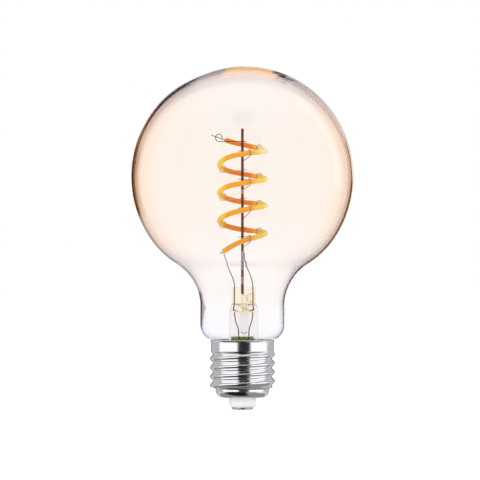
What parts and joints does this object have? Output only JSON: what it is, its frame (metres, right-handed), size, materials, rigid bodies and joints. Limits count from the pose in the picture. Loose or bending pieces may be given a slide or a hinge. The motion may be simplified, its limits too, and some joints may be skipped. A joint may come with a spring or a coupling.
{
  "type": "globe bulb",
  "caption": "Round globe bulb of amber-tinted glass with a spiral light strip wound round a centre rod, a glass stem, a small driver inside and a metal screw cap.",
  "frame": {"origin": "centre of the flat bottom of the centre contact", "axes": "+Z along the bulb's axis from the contact to the top of the globe; -Y faces the side from which the filament's lower end and its lead are on the left; +X is to that side's right"},
  "size_m": [0.0902, 0.0902, 0.1396],
  "materials": {
    "amber_glass": "clear blown glass with an amber tint that fades out at the neck",
    "clear_glass": "clear glass",
    "rod_metal": "oxidised, satin",
    "wire_metal": "bright drawn wire",
    "seal_metal": "copper-clad, reddish",
    "phosphor": "yellow-orange silicone, slightly glossy",
    "cap_metal": "bright nickel",
    "white_plastic": "moulded, slightly glossy",
    "contact_metal": "bright nickel, lightly worn",
    "cement": "matt basing cement",
    "board": "olive-green solder mask",
    "can": "sleeved can",
    "resistor_body": "painted, satin",
    "black_plastic": "moulded package",
    "ferrite": "sintered ferrite",
    "copper": "enamelled winding wire",
    "solder": "bright solder"
  },
  "bodies": {
    "root": {"glass_envelope": "amber_glass", "stem_flare": "clear_glass", "exhaust_tube": "clear_glass", "centre_rod": "rod_metal", "filament": "phosphor", "filament_pin_top": "wire_metal", "filament_pin_bottom": "wire_metal", "support_wire_01": "wire_metal", "support_wire_02": "wire_metal", "support_wire_03": "wire_metal", "support_wire_04": "wire_metal", "support_wire_05": "wire_metal", "support_wire_06": "wire_metal", "support_wire_07": "wire_metal", "support_wire_08": "wire_metal", "support_wire_09": "wire_metal", "support_wire_10": "wire_metal", "support_wire_11": "wire_metal", "support_wire_12": "wire_metal", "inner_lead_left": "wire_metal", "seal_wire_left": "seal_metal", "outer_lead_left": "wire_metal", "inner_lead_right": "wire_metal", "seal_wire_right": "seal_metal", "outer_lead_right": "wire_metal", "cap_shell": "cap_metal", "insulator": "white_plastic", "centre_contact": "contact_metal", "basing_cement": "cement", "driver_board": "board", "smoothing_capacitor": "can", "capacitor_lead_a": "wire_metal", "capacitor_lead_b": "wire_metal", "fuse_resistor": "resistor_body", "fuse_lead": "wire_metal", "contact_wire": "wire_metal", "shell_wire": "wire_metal", "bridge_rectifier": "black_plastic", "driver_chip": "black_plastic", "chip_resistor_1": "black_plastic", "chip_resistor_2": "black_plastic", "chip_resistor_3": "black_plastic", "inductor_core": "ferrite", "inductor_winding": "copper", "lead_solder_left": "solder", "lead_solder_right": "solder"}
  },
  "joints": []
}
